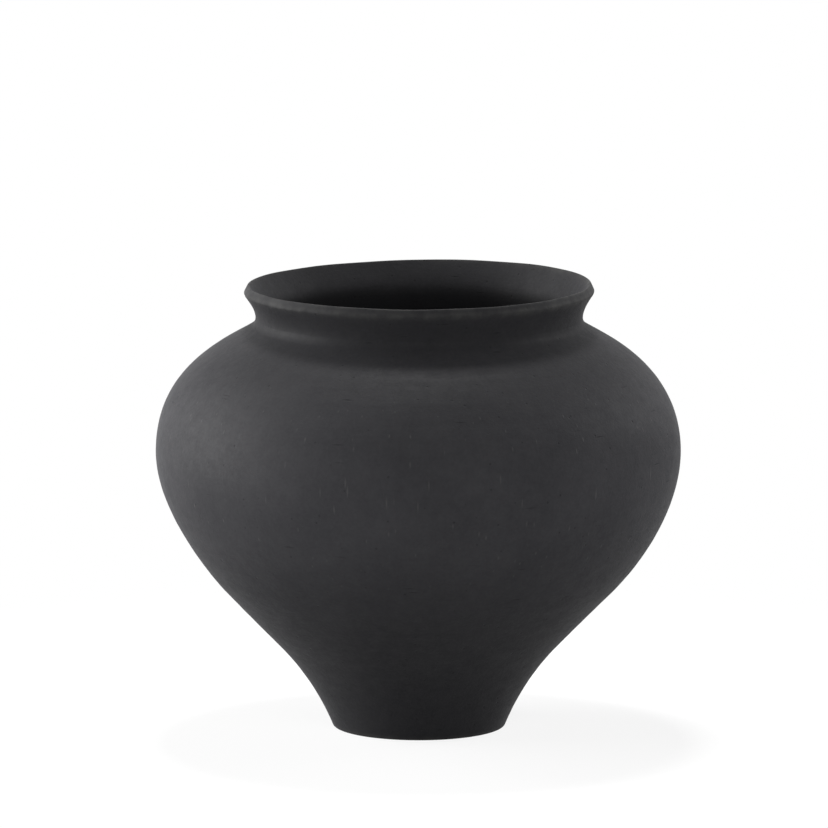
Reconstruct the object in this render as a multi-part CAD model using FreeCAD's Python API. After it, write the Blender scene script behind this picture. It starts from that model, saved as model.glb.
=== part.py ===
import FreeCAD, Part
import math
import os

# A wheel-thrown stoneware jar: narrow turned foot, wide belly, waisted neck, flared lip, no handles.
# It is thrown as four sections, and each seam is a ring of tongue and groove luted with slip.
# Lengths are in millimetres and angles in degrees. A lean is measured from upright, outwards.
# Z is up, and the origin is the centre of the circle that the jar stands on.

# Foot and floor
foot_radius = 51.2               # outside of the wall, just above the rounded edge of the foot
foot_edge_radius = 1.9
foot_lean_angle = 22.3           # of the wall where it leaves the foot
foot_ring_width = 8.0            # of the flat that touches the ground
ring_edge_radius = 1.2           # inner edge of the foot ring
foot_recess_depth = 3.0
recess_side_angle = 40.0         # of the side of the turned recess, towards the middle
recess_corner_radius = 1.5
foot_seam_height = 26.0          # outside of the lowest seam above the ground
foot_wall = 8.0
floor_thickness = 8.0
floor_fillet_radius = 14.0

# Lower wall: it sweeps out from the foot, runs straight and turns up into the belly
sweep_radius = 154.0
run_lean_angle = 44.2
run_length = 46.0
belly_radius = 155.0
belly_height = 164.4
belly_wall = 6.0
run_pull_share = 0.233           # how far a curve holds its direction at this end, as a share of its chord
under_belly_pull_share = 0.348

# Shoulder and neck
neck_radius = 96.4               # outside of the waist of the neck
neck_rise = 79.7                 # waist of the neck above the belly
neck_wall = 5.5
shoulder_slope_angle = 43.0      # from level, where the shoulder meets the neck
neck_root_radius = 6.3
over_belly_pull_share = 0.565
shoulder_pull_share = 0.116

# Flare and lip
flare_rise = 15.2                # foot of the lip's outer corner above the waist of the neck
flare_overhang = 6.4             # the same place, outwards of the waist
lip_lean_angle = 33.8
lip_wall = 5.4
lip_corner_radius = 2.0
lip_edge_radius = 0.9
lip_bevel_angle = 29.7           # tilt of the lip's end face away from a square cut
waist_pull_share = 0.324
lip_pull_share = 0.228

# Seams
groove_width = 3.0
groove_depth = 3.2
slip_thickness = 0.4

LEVEL = 90.0
HALF_TURN = 180.0
FULL_TURN = 360.0
AXIS_POINT = FreeCAD.Vector(0, 0, 0)
AXIS = FreeCAD.Vector(0, 0, 1)


def at(radius, height):
    return FreeCAD.Vector(radius, 0, height)


def along(lean):
    """The direction up a wall of this lean."""
    angle = math.radians(lean)
    return at(math.sin(angle), math.cos(angle))


def out_of(lean):
    """The direction square to a wall of this lean, away from its outside."""
    angle = math.radians(lean)
    return at(math.cos(angle), -math.sin(angle))


def lean_between(low, high):
    return math.degrees(math.atan2(high.x - low.x, high.z - low.z))


def line(start, end):
    return Part.LineSegment(start, end).toShape()


def polyline(points):
    return [line(start, end) for start, end in zip(points, points[1:])]


def swelling_arc(centre, radius, start_lean, end_lean):
    """A round stretch of profile with its centre inside the curve, between two leans."""
    leans = [start_lean, (start_lean + end_lean) / 2, end_lean]
    return Part.Arc(*[centre + out_of(lean) * radius for lean in leans]).toShape()


def hollow_arc(centre, radius, start_lean, end_lean):
    """A round stretch of profile with its centre outside the curve, between two leans."""
    leans = [start_lean, (start_lean + end_lean) / 2, end_lean]
    return Part.Arc(*[centre - out_of(lean) * radius for lean in leans]).toShape()


def curve(start, start_lean, end, end_lean, start_pull_share, end_pull_share):
    """A smooth curve that leaves start and reaches end, further up the wall, at the given leans."""
    chord = (end - start).Length
    start_handle = start + along(start_lean) * (chord * start_pull_share)
    end_handle = end - along(end_lean) * (chord * end_pull_share)
    bezier = Part.BezierCurve()
    bezier.setPoles([start, start_handle, end_handle, end])
    return bezier.toShape()


def arc_pull_share(turn):
    """The pull, at both ends, that makes a curve follow a round arc of this turn."""
    angle = math.radians(turn)
    return 4 / 3 * math.tan(angle / 4) / (2 * math.sin(angle / 2))


# Outside of the foot and the lower wall
foot_wall_start = foot_radius - foot_edge_radius * math.cos(math.radians(foot_lean_angle))
foot_edge_centre = at(foot_wall_start, foot_edge_radius)
foot_top = foot_edge_centre + out_of(foot_lean_angle) * foot_edge_radius
sweep_centre = foot_top + out_of(foot_lean_angle) * sweep_radius
foot_seam_lean = math.degrees(math.asin((foot_seam_height - sweep_centre.z) / sweep_radius))
foot_seam_outside = sweep_centre - out_of(foot_seam_lean) * sweep_radius
run_start = sweep_centre - out_of(run_lean_angle) * sweep_radius
run_end = run_start + along(run_lean_angle) * run_length
belly_outside = at(belly_radius, belly_height)

# Inside of the foot and the lower wall
foot_seam_inside = foot_seam_outside - out_of(foot_seam_lean) * foot_wall
belly_inside = at(belly_radius - belly_wall, belly_height)
floor_height = foot_recess_depth + floor_thickness


def lower_wall_thickness(height):
    """The wall thins evenly with height, from the seam at the foot up to the belly."""
    share = (belly_height - height) / (belly_height - foot_seam_height)
    return belly_wall + (foot_wall - belly_wall) * share


run_start_inside = run_start - out_of(run_lean_angle) * lower_wall_thickness(run_start.z)
run_end_inside = run_end - out_of(run_lean_angle) * lower_wall_thickness(run_end.z)
inside_run_lean = lean_between(run_start_inside, run_end_inside)

# The bowl of the floor curves up into the wall
bowl_top_height = floor_height + floor_fillet_radius * (1 - math.sin(math.radians(foot_seam_lean)))
bowl_drop = (foot_seam_inside.z - bowl_top_height) / math.cos(math.radians(foot_seam_lean))
bowl_top = foot_seam_inside - along(foot_seam_lean) * bowl_drop
bowl_centre = bowl_top - out_of(foot_seam_lean) * floor_fillet_radius

# Recess under the floor: a rounded inner edge of the foot ring, a slanted side and a rounded corner
recess_side_lean = -recess_side_angle
ring_edge_centre = at(foot_wall_start - foot_ring_width, ring_edge_radius)
recess_side_foot = ring_edge_centre - out_of(recess_side_lean) * ring_edge_radius
corner_height = foot_recess_depth - recess_corner_radius
side_top_height = corner_height + recess_corner_radius * math.sin(math.radians(recess_side_angle))
side_length = (side_top_height - recess_side_foot.z) / math.cos(math.radians(recess_side_angle))
recess_side_top = recess_side_foot + along(recess_side_lean) * side_length
recess_corner_centre = recess_side_top - out_of(recess_side_lean) * recess_corner_radius

# Shoulder and neck
waist_height = belly_height + neck_rise
root_lean = shoulder_slope_angle - LEVEL
root_centre = at(neck_radius + neck_root_radius, waist_height)
root_outside = root_centre - out_of(root_lean) * neck_root_radius
root_inside = root_outside - out_of(root_lean) * neck_wall
waist_outside = at(neck_radius, waist_height)
waist_inside = at(neck_radius - neck_wall, waist_height)

# Lip: an outer corner, a bevelled end face and an inner edge
lip_outside = at(neck_radius + flare_overhang, waist_height + flare_rise)
face_lean = lip_lean_angle - LEVEL + lip_bevel_angle
corner_centre = lip_outside - out_of(lip_lean_angle) * lip_corner_radius
face_start = corner_centre + out_of(face_lean) * lip_corner_radius
edge_track = lip_outside - out_of(lip_lean_angle) * (lip_wall - lip_edge_radius)
face_gap = (face_start - edge_track).dot(out_of(face_lean)) - lip_edge_radius
edge_centre = edge_track + along(lip_lean_angle) * (face_gap / along(lip_lean_angle).dot(out_of(face_lean)))
face_end = edge_centre + out_of(face_lean) * lip_edge_radius
lip_inside = edge_centre - out_of(lip_lean_angle) * lip_edge_radius


class Seam:
    """A seam square across the wall: a groove in the section below and a tongue on the section above."""

    def __init__(self, outside, inside, lean):
        self.outside = outside
        self.inside = inside
        self.middle = (outside + inside) * 0.5
        self.across = out_of(lean)
        self.down = along(lean) * -1
        self.slant = math.atan2(groove_width / 2, groove_depth)

    def vee(self, inset):
        """Mouth, tip and mouth of the vee that lies inside the groove's walls by the inset."""
        half_mouth = groove_width / 2 - inset / math.cos(self.slant)
        depth = groove_depth - inset / math.sin(self.slant)
        outer_mouth = self.middle + self.across * half_mouth
        tip = self.middle + self.down * depth
        inner_mouth = self.middle - self.across * half_mouth
        return [outer_mouth, tip, inner_mouth]

    def groove(self):
        return polyline([self.outside] + self.vee(0) + [self.inside])

    def tongue(self):
        return polyline([self.outside] + self.vee(slip_thickness) + [self.inside])

    def slip(self):
        """The slip that fills the room between groove and tongue."""
        mouth = self.vee(0)
        return polyline(mouth + self.vee(slip_thickness)[::-1] + mouth[:1])


foot_seam = Seam(foot_seam_outside, foot_seam_inside, foot_seam_lean)
belly_seam = Seam(belly_outside, belly_inside, 0)
neck_seam = Seam(waist_outside, waist_inside, 0)


def foot_profile():
    """The floor with its turned foot ring and the first stretch of wall."""
    recess_top = at(recess_corner_centre.x, foot_recess_depth)
    edges = polyline([at(0, floor_height), at(0, foot_recess_depth), recess_top])
    edges.append(swelling_arc(recess_corner_centre, recess_corner_radius, -LEVEL, recess_side_lean))
    edges.append(line(recess_side_top, recess_side_foot))
    edges.append(hollow_arc(ring_edge_centre, ring_edge_radius, recess_side_lean, -LEVEL))
    edges.append(line(at(ring_edge_centre.x, 0), at(foot_wall_start, 0)))
    edges.append(swelling_arc(foot_edge_centre, foot_edge_radius, LEVEL, foot_lean_angle))
    edges.append(hollow_arc(sweep_centre, sweep_radius, foot_lean_angle, foot_seam_lean))
    edges += foot_seam.groove()
    edges.append(line(foot_seam_inside, bowl_top))
    edges.append(swelling_arc(bowl_centre, floor_fillet_radius, foot_seam_lean, LEVEL))
    edges.append(line(at(bowl_centre.x, floor_height), at(0, floor_height)))
    return edges


def lower_profile():
    """The lower wall, from the seam above the foot to the seam round the belly."""
    edges = foot_seam.tongue()
    edges.append(hollow_arc(sweep_centre, sweep_radius, foot_seam_lean, run_lean_angle))
    edges.append(line(run_start, run_end))
    edges.append(curve(run_end, run_lean_angle, belly_outside, 0, run_pull_share, under_belly_pull_share))
    edges += belly_seam.groove()
    edges.append(
        curve(run_end_inside, inside_run_lean, belly_inside, 0, run_pull_share, under_belly_pull_share)
    )
    edges.append(line(run_start_inside, run_end_inside))
    round_pull_share = arc_pull_share(inside_run_lean - foot_seam_lean)
    edges.append(
        curve(
            foot_seam_inside,
            foot_seam_lean,
            run_start_inside,
            inside_run_lean,
            round_pull_share,
            round_pull_share,
        )
    )
    return edges


def upper_profile():
    """The shoulder, from the seam round the belly to the seam at the waist of the neck."""
    edges = belly_seam.tongue()
    edges.append(
        curve(belly_outside, 0, root_outside, root_lean, over_belly_pull_share, shoulder_pull_share)
    )
    edges.append(hollow_arc(root_centre, neck_root_radius, root_lean, 0))
    edges += neck_seam.groove()
    edges.append(hollow_arc(root_centre, neck_root_radius + neck_wall, root_lean, 0))
    edges.append(
        curve(belly_inside, 0, root_inside, root_lean, over_belly_pull_share, shoulder_pull_share)
    )
    return edges


def collar_profile():
    """The flared collar with its lip."""
    edges = neck_seam.tongue()
    edges.append(curve(waist_outside, 0, lip_outside, lip_lean_angle, waist_pull_share, lip_pull_share))
    edges.append(swelling_arc(corner_centre, lip_corner_radius, lip_lean_angle, face_lean))
    edges.append(line(face_start, face_end))
    edges.append(swelling_arc(edge_centre, lip_edge_radius, face_lean, lip_lean_angle - HALF_TURN))
    edges.append(curve(waist_inside, 0, lip_inside, lip_lean_angle, waist_pull_share, lip_pull_share))
    return edges


def turned(edges):
    """The ring that a closed profile makes on the wheel."""
    wire = Part.Wire(Part.sortEdges(edges)[0])
    return Part.Face(wire).revolve(AXIS_POINT, AXIS, FULL_TURN)


PROFILES = {
    "foot_section": foot_profile(),
    "foot_joint_slip": foot_seam.slip(),
    "lower_section": lower_profile(),
    "belly_joint_slip": belly_seam.slip(),
    "upper_section": upper_profile(),
    "neck_joint_slip": neck_seam.slip(),
    "collar_section": collar_profile(),
}


def main():
    os.makedirs("parts", exist_ok=True)
    for name, edges in PROFILES.items():
        solid = turned(edges)
        solid.exportStep(f"parts/{name}.step")
        print(name, solid.ShapeType, solid.isValid(), round(solid.Volume))


main()
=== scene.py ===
"""The looks of a wheel-thrown black stoneware jar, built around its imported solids.

Lengths are in metres, angles in radians, Z is up and the jar stands on the origin. A lean is the angle of
a wall from upright, outwards. Each thrown section is one closed mesh: its meridian is drawn with arcs, a
straight run and smooth curves, turned about the axis, and its faces carry the relief that hands and tools
leave in clay.
"""

import math
from collections import namedtuple

import bpy
import numpy as np
from bpy.props import FloatProperty, FloatVectorProperty, IntProperty, PointerProperty
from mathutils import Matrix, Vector


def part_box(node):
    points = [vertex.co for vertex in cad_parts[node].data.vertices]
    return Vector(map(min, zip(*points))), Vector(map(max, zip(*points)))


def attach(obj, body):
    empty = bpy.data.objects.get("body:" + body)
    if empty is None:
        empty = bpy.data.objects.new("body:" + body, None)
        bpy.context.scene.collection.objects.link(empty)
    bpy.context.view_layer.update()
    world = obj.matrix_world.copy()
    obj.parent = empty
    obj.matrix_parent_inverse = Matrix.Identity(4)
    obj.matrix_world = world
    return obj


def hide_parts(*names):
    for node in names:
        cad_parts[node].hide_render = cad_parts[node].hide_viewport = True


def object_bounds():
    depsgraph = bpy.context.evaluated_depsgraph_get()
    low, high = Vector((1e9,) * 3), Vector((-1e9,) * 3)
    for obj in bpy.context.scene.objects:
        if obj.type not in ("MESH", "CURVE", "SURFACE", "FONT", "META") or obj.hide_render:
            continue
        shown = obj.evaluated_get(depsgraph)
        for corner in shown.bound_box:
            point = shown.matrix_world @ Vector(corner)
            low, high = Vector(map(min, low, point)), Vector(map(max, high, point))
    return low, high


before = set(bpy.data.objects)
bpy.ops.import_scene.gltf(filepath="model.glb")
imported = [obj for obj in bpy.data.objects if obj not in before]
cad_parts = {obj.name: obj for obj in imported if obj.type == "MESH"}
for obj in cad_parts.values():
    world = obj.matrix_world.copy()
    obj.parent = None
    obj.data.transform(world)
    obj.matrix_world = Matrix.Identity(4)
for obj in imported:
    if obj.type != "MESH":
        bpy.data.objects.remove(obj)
CAD_LOW, CAD_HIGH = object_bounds()

bl_info = {
    "name": "Thrown Stoneware Jar",
    "version": (1, 0, 0),
    "blender": (4, 5, 0),
    "location": "3D View > Sidebar > Jar",
    "description": "Builds the visible clay of a thrown black stoneware jar and a plain studio for it",
    "category": "Add Mesh",
}

Lamp = namedtuple("Lamp", "bearing elevation distance width height")
Cloud = namedtuple("Cloud", "size detail roughness height girth", defaults=(0.5, 0, None))
Marks = namedtuple("Marks", "spacing size share_left_out height upright girth", defaults=(1, None))
Dent = namedtuple("Dent", "turn width weight")

MM = 0.001
QUARTER_TURN = math.pi / 2
HALF_TURN = math.pi
FULL_TURN = math.tau

FOOT = "foot_section"
LOWER = "lower_section"
UPPER = "upper_section"
COLLAR = "collar_section"
SLIP_RINGS = ("foot_joint_slip", "belly_joint_slip", "neck_joint_slip")
BODY = "root"
CLAY = "Fired Black Stoneware"
SLIP = "Fired Luting Slip"

# Rows of faces in a radius' length of a small edge, and how far past its radius the lip is rubbed.
FINE_ROWS = 3
LIP_ROWS = 6
CORNER_RUB_SHARE = 1.3
EDGE_RUB_SHARE = 3
SHARP_ANGLE = math.radians(50)

# Clouds and streaks in the clay. A girth draws them out: it stands for the whole way round the jar.
CLOUDS = Cloud(size=38 * MM, detail=4)
BLOTCHES = Cloud(size=7 * MM, detail=3)
SAND = Cloud(size=1.9 * MM, detail=3, height=0.09 * MM)
GRAIN = Cloud(size=0.8 * MM, detail=3, roughness=0.65, height=0.06 * MM)
STREAKS = Cloud(size=2.4 * MM, detail=3, height=0.10 * MM, girth=90 * MM)
FINE_STREAKS = Cloud(size=1.1 * MM, detail=2, height=0.04 * MM, girth=45 * MM)
STREAKY_PATCHES = Cloud(size=52 * MM, detail=2)
SLIP_BLOTCHES = Cloud(size=6 * MM, detail=3)
SLIP_GRAIN = Cloud(size=0.7 * MM, detail=3, height=0.03 * MM)

# Marks in the clay: round pits, scores drawn out upright and drags drawn out round the jar.
PITS = Marks(spacing=7.0 * MM, size=0.95 * MM, share_left_out=0.50, height=-0.22 * MM)
PINHOLES = Marks(spacing=2.6 * MM, size=0.42 * MM, share_left_out=0.50, height=-0.05 * MM)
SCORES = Marks(spacing=4.0 * MM, size=0.70 * MM, share_left_out=0.45, height=0.12 * MM, upright=7)
DRAGS = Marks(spacing=4.2 * MM, size=0.55 * MM, share_left_out=0.50, height=-0.14 * MM, girth=110 * MM)

# A span is the stretch of values, of a cloud or a tone, over which something comes in.
CLOUD_SPAN = (0.3, 0.7)
SAND_SPAN = (0.25, 0.75)
STREAKY_SPAN = (0.42, 0.62)
RUB_SPAN = (0.35, 0.65)
HANDLED_SPAN = (0.6, 0.9)
ROUGH_SPAN = (0.6, 1.4)
LEAST_STREAKY = 0.15
LEAST_RUBBED = 0.35
LEAST_HANDLED = 0.1
CLOUD_SHARE = 0.55
BLOTCH_SHARE = 0.3
SAND_SHARES = (-0.12, 0.27)
SCORE_WEAR = 0.7
# Painted shade in the pits and drags: the share of the clay's colour left at the middle of these hollows.
MARK_PAINTED_SHADE = 0.62
TONE_REACH = 16 * MM
TURNED_INWARDS = -0.3
CLAY_ROUGHNESS = (0.66, 0.54)
CLAY_REFLECTION = 0.05
SLIP_ROUGHNESS = (0.86, 0.93)
SLIP_REFLECTION = 0.25
MATT = 1.0

# The floor is pale as it is seen and greyer as it throws light back on the jar.
WHITE = (1.0, 1.0, 1.0)
FLOOR_SEEN = (0.95, 0.95, 0.95)
FLOOR_LIT = (0.35, 0.35, 0.35)
FLOOR_RADIUS = 4.0
FLOOR_CORNERS = 96
SHADOW_SHARE = 0.15
SHADOW_FADE = (0.12, 0.50)

# Bearings and elevations of the softboxes are in degrees, seen from the middle of the jar.
LAMPS = {
    "left": Lamp(bearing=-96, elevation=4, distance=2.2, width=1.6, height=1.0),
    "high_left": Lamp(bearing=-112, elevation=28, distance=2.2, width=0.9, height=1.0),
    "right": Lamp(bearing=112, elevation=26, distance=2.2, width=1.4, height=1.2),
    "top": Lamp(bearing=-176.5, elevation=72.3, distance=2.0, width=0.4, height=0.4),
    "front": Lamp(bearing=10, elevation=26, distance=2.0, width=1.0, height=0.8),
}

# The camera circles a point of the axis. It is aimed above that point and to its left in the picture.
AXIS_POINT = 132.9 * MM
AIM_RISE = 52.7 * MM
AIM_LEFT = 2.51 * MM


def length(name, description, default):
    """A length that a user may change."""
    return FloatProperty(name=name, description=description, default=default, unit="LENGTH", precision=4)


def angle(name, description, degrees):
    """An angle that a user may change."""
    return FloatProperty(name=name, description=description, default=math.radians(degrees), subtype="ANGLE")


def power(name, description, default):
    """The power of a lamp."""
    return FloatProperty(name=name, description=description, default=default, unit="POWER", min=0)


def share(name, description, default):
    """A share of something else, from 0 to 1."""
    return FloatProperty(name=name, description=description, default=default, subtype="FACTOR", min=0, max=1)


def colour(name, description, default):
    """A linear colour that a user may change."""
    return FloatVectorProperty(
        name=name, description=description, default=default, subtype="COLOR", min=0, max=1
    )


class JarSizes(bpy.types.PropertyGroup):
    """The sizes that draw the meridian of the jar."""

    foot_radius: length("Foot radius", "Outside of the wall just above the foot edge", 51.2 * MM)
    foot_edge: length("Foot edge", "Radius of the rounded outer edge of the foot", 1.9 * MM)
    foot_lean: angle("Foot lean", "Lean of the wall where it leaves the foot", 22.3)
    foot_ring: length("Foot ring", "Width of the flat ring that touches the ground", 8.0 * MM)
    ring_edge: length("Ring edge", "Radius of the inner edge of the foot ring", 1.2 * MM)
    recess_depth: length("Recess depth", "Depth of the turned recess under the floor", 3.0 * MM)
    recess_side: angle("Recess side", "Slant of the side of the recess from upright", 40.0)
    recess_corner: length("Recess corner", "Radius of the corner of the recess", 1.5 * MM)
    foot_seam_height: length("Foot seam height", "Height of the outside of the lowest seam", 26.0 * MM)
    foot_wall: length("Foot wall", "Thickness of the wall at the lowest seam", 8.0 * MM)
    floor_thickness: length("Floor thickness", "Thickness of the floor of the jar", 8.0 * MM)
    floor_fillet: length("Floor fillet", "Radius with which the floor turns up into the wall", 14.0 * MM)
    sweep_radius: length("Sweep radius", "Radius with which the wall sweeps out above the foot", 154.0 * MM)
    run_lean: angle("Run lean", "Lean of the straight run of the lower wall", 44.2)
    run_length: length("Run length", "Length of the straight run of the lower wall", 46.0 * MM)
    run_pull: share("Run pull", "How far the curve above the run holds its direction", 0.233)
    under_belly_pull: share("Pull under the belly", "How far the wall under the belly stays upright", 0.348)
    belly_radius: length("Belly radius", "Outside of the widest line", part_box(LOWER)[1].x)
    belly_height: length("Belly height", "Height of the widest line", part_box(LOWER)[1].z)
    belly_wall: length("Belly wall", "Thickness of the wall at the belly", 6.0 * MM)
    over_belly_pull: share("Pull over the belly", "How far the wall over the belly stays upright", 0.565)
    shoulder_pull: share("Shoulder pull", "How far the shoulder holds its slope below the neck", 0.116)
    shoulder_slope: angle("Shoulder slope", "Slope of the shoulder from level at the neck", 43.0)
    neck_root: length("Neck root", "Radius of the hollow where the shoulder meets the neck", 6.3 * MM)
    neck_radius: length("Neck radius", "Outside of the waist of the neck", 96.4 * MM)
    waist_height: length("Waist height", "Height of the waist of the neck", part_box(UPPER)[1].z)
    neck_wall: length("Neck wall", "Thickness of the wall at the waist of the neck", 5.5 * MM)
    flare_rise: length("Flare rise", "Foot of the outer corner of the lip above the waist", 15.2 * MM)
    flare_overhang: length("Flare overhang", "The same place, outwards of the waist", 6.4 * MM)
    waist_pull: share("Waist pull", "How far the flare stays upright above the waist", 0.324)
    lip_pull: share("Lip pull", "How far the flare holds its lean below the lip", 0.228)
    lip_lean: angle("Lip lean", "Lean of the wall at the lip", 33.8)
    lip_wall: length("Lip wall", "Thickness of the wall at the lip", 5.4 * MM)
    lip_corner: length("Lip corner", "Radius of the outer corner of the lip", 2.0 * MM)
    lip_edge: length("Lip edge", "Radius of the inner edge of the lip", 0.9 * MM)
    lip_bevel: angle("Lip bevel", "Tilt of the end of the lip away from a square cut", 29.7)
    groove_width: length("Groove width", "Mouth of the groove in each seam", 3.0 * MM)
    groove_depth: length("Groove depth", "Depth of the groove in each seam", 3.2 * MM)
    slip_thickness: length("Slip thickness", "Room for slip between tongue and groove", 0.4 * MM)


class JarSurface(bpy.types.PropertyGroup):
    """How finely the clay is drawn, what the thrower's hands and tools left in it, its colours and its
    painted shade.
    """

    spokes: IntProperty(name="Spokes", description="Number of meridians round the jar", default=360, min=24)
    outside_row: length("Outside row", "Distance between rows of faces on the outside", 1.3 * MM)
    inside_row: length("Inside row", "Distance between rows of faces on the inside", 2.2 * MM)
    underside_row: length("Underside row", "Distance between rows of faces under the floor", 0.6 * MM)
    turning_depth: length("Turning depth", "Depth of the faint turning rings outside", 0.05 * MM)
    trimming_depth: length("Trimming depth", "Depth of the trimming spiral under the floor", 0.12 * MM)
    trimming_pitch: length("Trimming pitch", "Width of one turn of the trimming spiral", 2.6 * MM)
    out_of_round: length("Out of round", "How far the belly is drawn in at its flattest", 0.40 * MM)
    throwing_depth: length("Throwing depth", "Depth of the throwing spiral inside", 0.35 * MM)
    throwing_pitch: length("Throwing pitch", "Rise of the throwing spiral in one turn", 9.0 * MM)
    lip_tilt: length("Lip tilt", "How far the lip rises on the right and falls on the left", 0.74 * MM)
    lip_twist: length("Lip twist", "How far the lip rises and falls twice round the jar", 0.38 * MM)
    lip_ripple: length("Lip ripple", "Height of the small unevenness of the lip", 0.06 * MM)
    dent_depth: length("Dent depth", "Depth of the small dents in the edge of the lip", 0.45 * MM)
    seed: IntProperty(name="Seed", description="Seed of every uneven feature", default=7)
    clay_dark: colour("Dark clay", "Colour of the clay in its darker clouds", (0.0475, 0.0472, 0.0515))
    clay_light: colour("Light clay", "Colour of the clay in its lighter clouds", (0.0637, 0.0628, 0.0675))
    clay_worn: colour("Worn clay", "Colour of the clay where edges are rubbed", (0.1010, 0.1000, 0.0990))
    # Painted shade: the clay is darkened toward the foot and up to the neck, where the jar lies in shade.
    foot_painted_shade: share("Foot tone", "Tone of the clay at the foot beside its tone round the belly", 0.50)
    neck_painted_shade: share("Neck tone", "Tone of the clay at the neck beside its tone round the belly", 0.52)
    # Painted shade inside the jar, below the waist.
    inside_painted_shade: share("Inside tone", "Tone of the clay inside, below the waist, beside the outside", 0.50)
    slip_grey: colour("Slip", "Colour of the fired slip in the seams", (0.0480, 0.0475, 0.0465))


class JarStudio(bpy.types.PropertyGroup):
    """The camera, the softboxes and the light from all round."""

    focal: FloatProperty(
        name="Focal length", description="Focal length of the long lens", default=434.8, unit="CAMERA"
    )
    distance: length("Distance", "Distance from the camera to the point that it circles", 5.906)
    elevation: angle("Elevation", "Height of the camera above the horizon", 9.705)
    left_power: power("Left", "Power of the large softbox on the left", 105.0)
    high_left_power: power("High left", "Power of the softbox high on the left", 32.0)
    right_power: power("Right", "Power of the softbox on the right", 23.0)
    top_power: power("Top", "Power of the softbox overhead", 45.0)
    front_power: power("Front", "Power of the weak softbox in front", 15.5)
    ambient: FloatProperty(
        name="Ambient", description="Strength of the light from all round", default=0.01, min=0
    )


def along(lean):
    """The direction up a wall of this lean, as radius and height."""
    return np.array([math.sin(lean), math.cos(lean)])


def out_of(lean):
    """The direction square to a wall of this lean, away from its outside."""
    return np.array([math.cos(lean), -math.sin(lean)])


def at(radius, height):
    """A point of the meridian."""
    return np.array([radius, height])


def spread(total, row):
    """Even steps from 0 to 1 over a stretch of this length."""
    return np.linspace(0, 1, max(2, math.ceil(total / row)) + 1)


def stretch(points, leans):
    """Rows of a meridian: radius, height and lean."""
    return np.column_stack([points, leans])


def straight(start, end, row):
    """A straight stretch of wall."""
    reach = end - start
    steps = spread(np.linalg.norm(reach), row)
    lean = math.atan2(reach[0], reach[1])
    return stretch(start + np.outer(steps, reach), np.full(len(steps), lean))


def arc(centre, radius, start_lean, end_lean, row):
    """A round stretch. A radius below 0 puts the centre outside the curve."""
    steps = spread(abs(radius * (end_lean - start_lean)), row)
    leans = start_lean + steps * (end_lean - start_lean)
    sides = np.column_stack([np.cos(leans), -np.sin(leans)])
    return stretch(centre + sides * radius, leans)


def curve(start, start_lean, end, end_lean, start_pull, end_pull, row):
    """A smooth stretch that leaves start and reaches end at the given leans."""
    chord = np.linalg.norm(end - start)
    near = start + along(start_lean) * chord * start_pull
    far = end - along(end_lean) * chord * end_pull
    t = spread(chord, row)[:, None]
    points = start * (1 - t) ** 3 + near * 3 * t * (1 - t) ** 2 + far * 3 * t**2 * (1 - t) + end * t**3
    heading = (near - start) * (1 - t) ** 2 + (far - near) * 2 * t * (1 - t) + (end - far) * t**2
    return stretch(points, np.arctan2(heading[:, 0], heading[:, 1]))


def joined(*stretches):
    """One run of rows from several that touch end to end."""
    return np.vstack([stretches[0]] + [rows[1:] for rows in stretches[1:]])


def round_pull(turn):
    """The pull, at both ends, that makes a curve follow a round arc of this turn."""
    return 4 / 3 * math.tan(turn / 4) / (2 * math.sin(turn / 2))


class Seam:
    """A seam square across the wall: a groove in the section below, a tongue on the section above."""

    def __init__(self, sizes, outside, inside, lean):
        self.sizes = sizes
        self.outside = outside
        self.inside = inside
        self.lean = lean
        self.middle = (outside + inside) / 2
        self.across = out_of(lean)
        self.down = -along(lean)

    def vee(self, inset):
        """Outer mouth, tip and inner mouth of the vee that lies inside the groove by the inset."""
        half_width = self.sizes.groove_width / 2
        slant = math.atan2(half_width, self.sizes.groove_depth)
        half_mouth = half_width - inset / math.cos(slant)
        depth = self.sizes.groove_depth - inset / math.sin(slant)
        tip = self.middle + self.down * depth
        return [self.middle + self.across * half_mouth, tip, self.middle - self.across * half_mouth]

    def groove(self):
        """The groove in the rim of the section below."""
        return self.vee(0)

    def tongue(self):
        """The tongue on the section above, which leaves room for the slip."""
        return self.vee(self.sizes.slip_thickness)


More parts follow.
